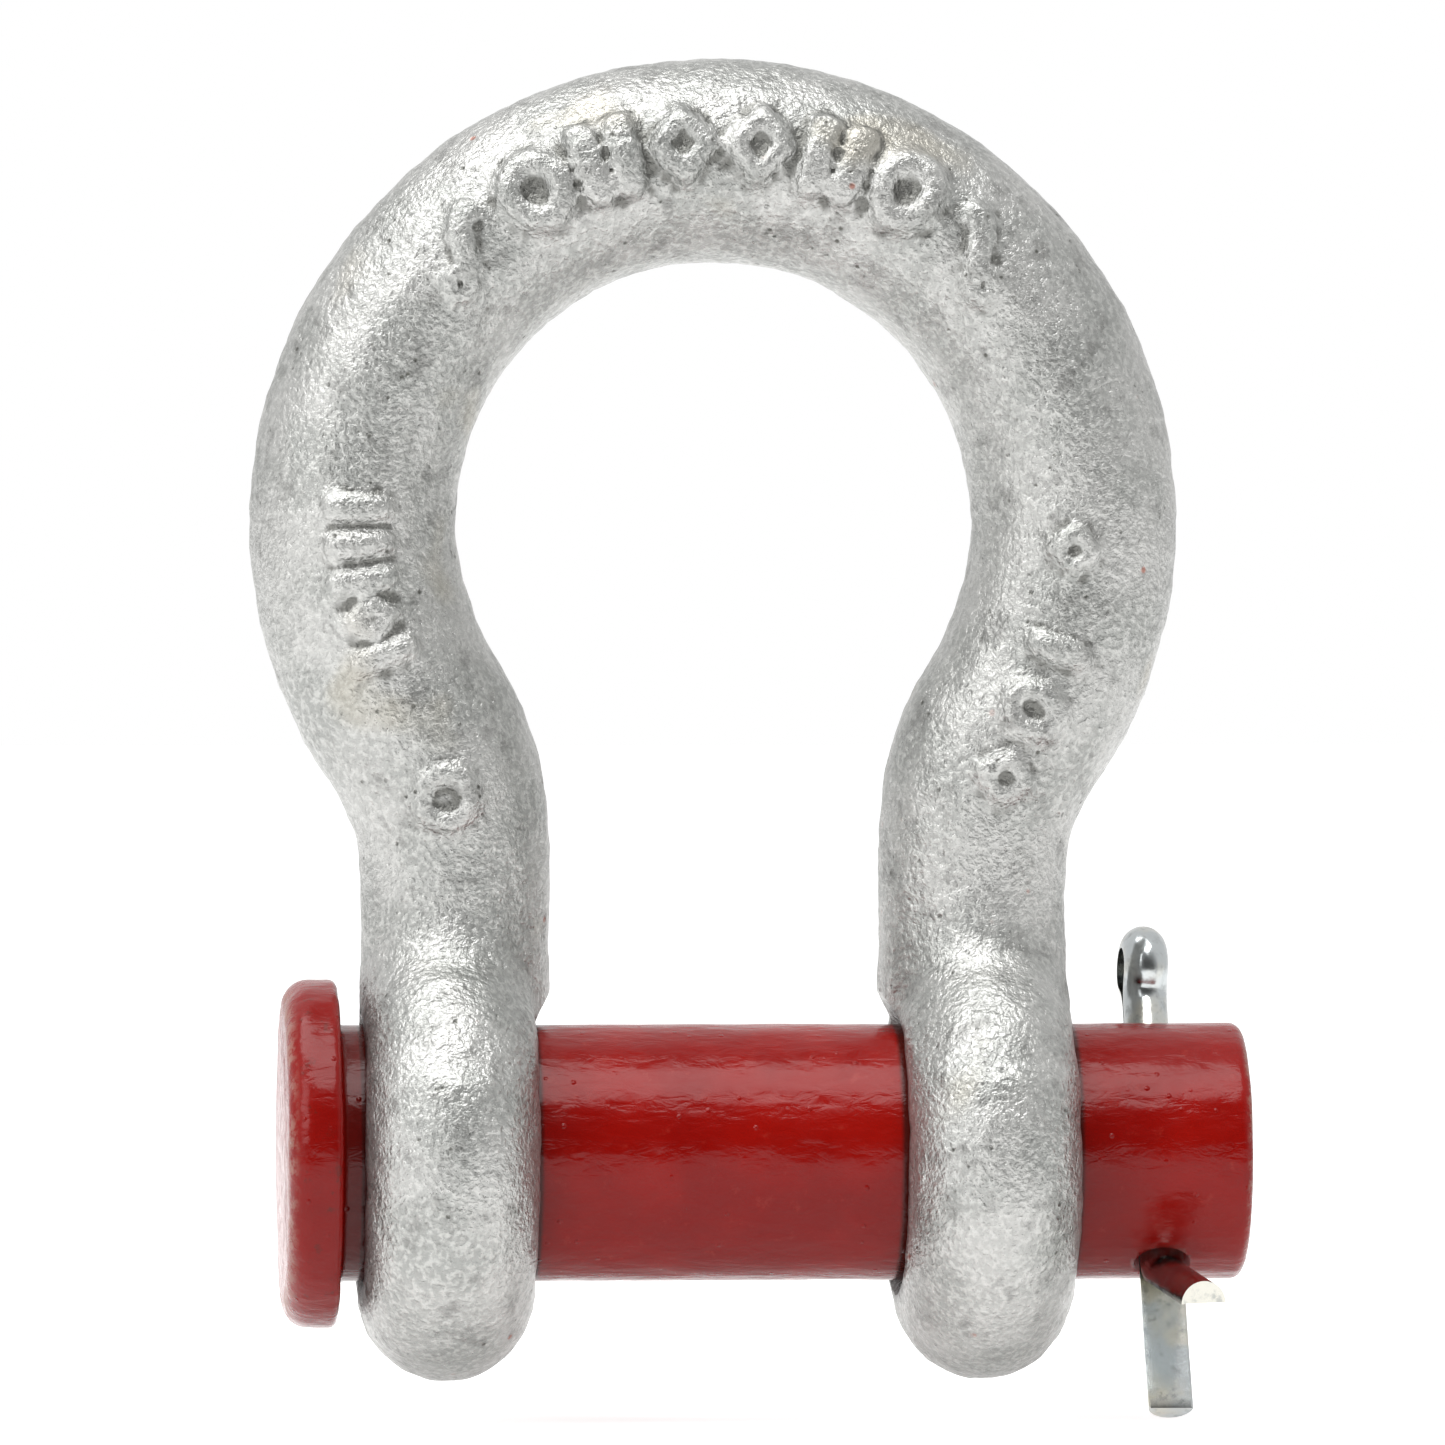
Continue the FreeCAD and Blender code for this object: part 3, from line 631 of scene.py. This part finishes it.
for vert in wire.verts:
    vert.co += Vector((noise.noise(vert.co / (3 * MM)), 0, 0)) * 0.02 * MM
bmesh.ops.transform(wire, matrix=across_pin @ Matrix.Rotation(EYE_TURN, 4, "Z"), verts=wire.verts)
split_pin = new_object("wire_split_pin", wire)
split_pin.data.shade_smooth()
split_pin.data.set_sharp_from_angle(angle=math.radians(50))


def bright_zinc():
    n = Nodes(bpy.data.materials.new("bright_zinc_plate"))
    tint = n.noise(0.5, 3)
    draw = n.add("ShaderNodeMapping", {"Vector": n.where, "Scale": (1, 1, 0.15)}).outputs["Vector"]
    lines = n.noise(9.0, 3, 0.6, draw)
    mottle = n.noise(2.2, 4, 0.65)
    colour = n.blend(n.band(tint, 0.4, 0.6), (0.45, 0.475, 0.48, 1), (0.52, 0.51, 0.46, 1))
    colour = n.blend(n.band(mottle, 0.5, 0.7, 0.0, 0.6), colour, (0.25, 0.265, 0.26, 1))
    n.feed(n.surface.inputs["Base Color"], colour)
    n.surface.inputs["Metallic"].default_value = 1.0
    n.feed(n.surface.inputs["Roughness"], n.band(mottle, 0.3, 0.7, 0.12, 0.27))
    relief = n.bump(0.003, lines)
    relief = n.bump(0.006, mottle, relief)
    n.feed(n.surface.inputs["Normal"], relief)
    return n.owner


split_pin.data.materials.clear()
split_pin.data.materials.append(bright_zinc())
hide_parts("split_pin")
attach(split_pin, "split_pin")

# ---------------------------------------------------------------------------------------------
# Table and studio: a pale table under the shackle, a big soft lamp above and one at the left,
# a white backdrop that metal and paint reflect, and a darker room in front, which gives them depth.
# ---------------------------------------------------------------------------------------------

TABLE_Z = cad_low[2] - 0.4 * MM
TABLE_GLOW = 0.70
DARK_ROOM = 0.12
WALL_LIGHT = 0.48
WHITE = 1.0
MIDDLE = Vector((0, 0, 15 * MM))

table_top = bmesh.new()
bmesh.ops.create_grid(table_top, x_segments=1, y_segments=1, size=3.0,
                      matrix=Matrix.Translation((0, 0, TABLE_Z)))
table = new_object("table", table_top)
paper = Nodes(bpy.data.materials.new("white_paper"))
paper.surface.inputs["Base Color"].default_value = (0.86, 0.86, 0.86, 1)
paper.surface.inputs["Roughness"].default_value = 0.9
rays = paper.add("ShaderNodeLightPath").outputs
seen = paper.maths("ADD", rays["Is Camera Ray"], rays["Is Glossy Ray"])
glow = paper.add("ShaderNodeEmission", {"Strength": paper.times(seen, TABLE_GLOW)})
lit = paper.add("ShaderNodeAddShader", {0: paper.surface.outputs[0], 1: glow.outputs[0]})
paper.feed(paper.tree.nodes["Material Output"].inputs["Surface"], lit.outputs[0])
table.data.materials.append(paper.owner)


def facing(place, ahead):
    """Where a lamp or camera stands, with its front turned ahead."""
    return Matrix.Translation(place) @ ahead.to_track_quat("-Z", "Y").to_matrix().to_4x4()


def soft_lamp(name, place, width, height, power):
    data = bpy.data.lights.new(name, "AREA")
    data.shape = "RECTANGLE"
    data.size = width
    data.size_y = height
    data.energy = power
    lamp = bpy.data.objects.new(name, data)
    lamp.matrix_world = facing(place, MIDDLE - Vector(place))
    bpy.context.scene.collection.objects.link(lamp)


soft_lamp("top_lamp", (-0.08, -0.11, 0.43), 0.55, 0.30, 2.30)
soft_lamp("left_lamp", (-0.36, -0.30, 0.26), 0.30, 0.30, 0.90)

room = Nodes(bpy.data.worlds.new("studio"))
bpy.context.scene.world = room.owner
away = room.add("ShaderNodeSeparateXYZ", {"Vector": room.place["Generated"]}).outputs["Y"]
rays = room.add("ShaderNodeLightPath").outputs
backdrop = room.add("ShaderNodeMapRange", {"Value": rays["Is Glossy Ray"], "To Min": WALL_LIGHT,
                                           "To Max": WHITE})
walls = room.band(away, -0.95, -0.35, DARK_ROOM, backdrop.outputs["Result"])
strength = room.add("ShaderNodeMix", {0: rays["Is Camera Ray"], 2: walls, 3: WHITE})
background = room.tree.nodes["Background"]
background.inputs["Color"].default_value = (1, 1, 1, 1)
room.feed(background.inputs["Strength"], strength.outputs[0])

# ---------------------------------------------------------------------------------------------
# Camera: a long lens almost level with the middle of the shackle and a little to its left,
# far enough away that both ears look the same size.
# ---------------------------------------------------------------------------------------------

VIEW_LEFT = math.radians(4.5)
VIEW_UP = math.radians(0.35)
VIEW_DISTANCE = 0.443
AIM = Vector((0.31 * MM, 0, 15.18 * MM))

level = math.cos(VIEW_UP)
ahead = Vector((math.sin(VIEW_LEFT) * level, math.cos(VIEW_LEFT) * level, -math.sin(VIEW_UP)))
lens = bpy.data.cameras.new("camera")
lens.sensor_width = 36
lens.lens = 312.5
lens.clip_start = 0.01
lens.clip_end = 20
camera = bpy.data.objects.new("camera", lens)
camera.matrix_world = facing(AIM - ahead * VIEW_DISTANCE, ahead)
bpy.context.scene.collection.objects.link(camera)
bpy.context.scene.camera = camera
bpy.context.scene.view_settings.view_transform = "Standard"
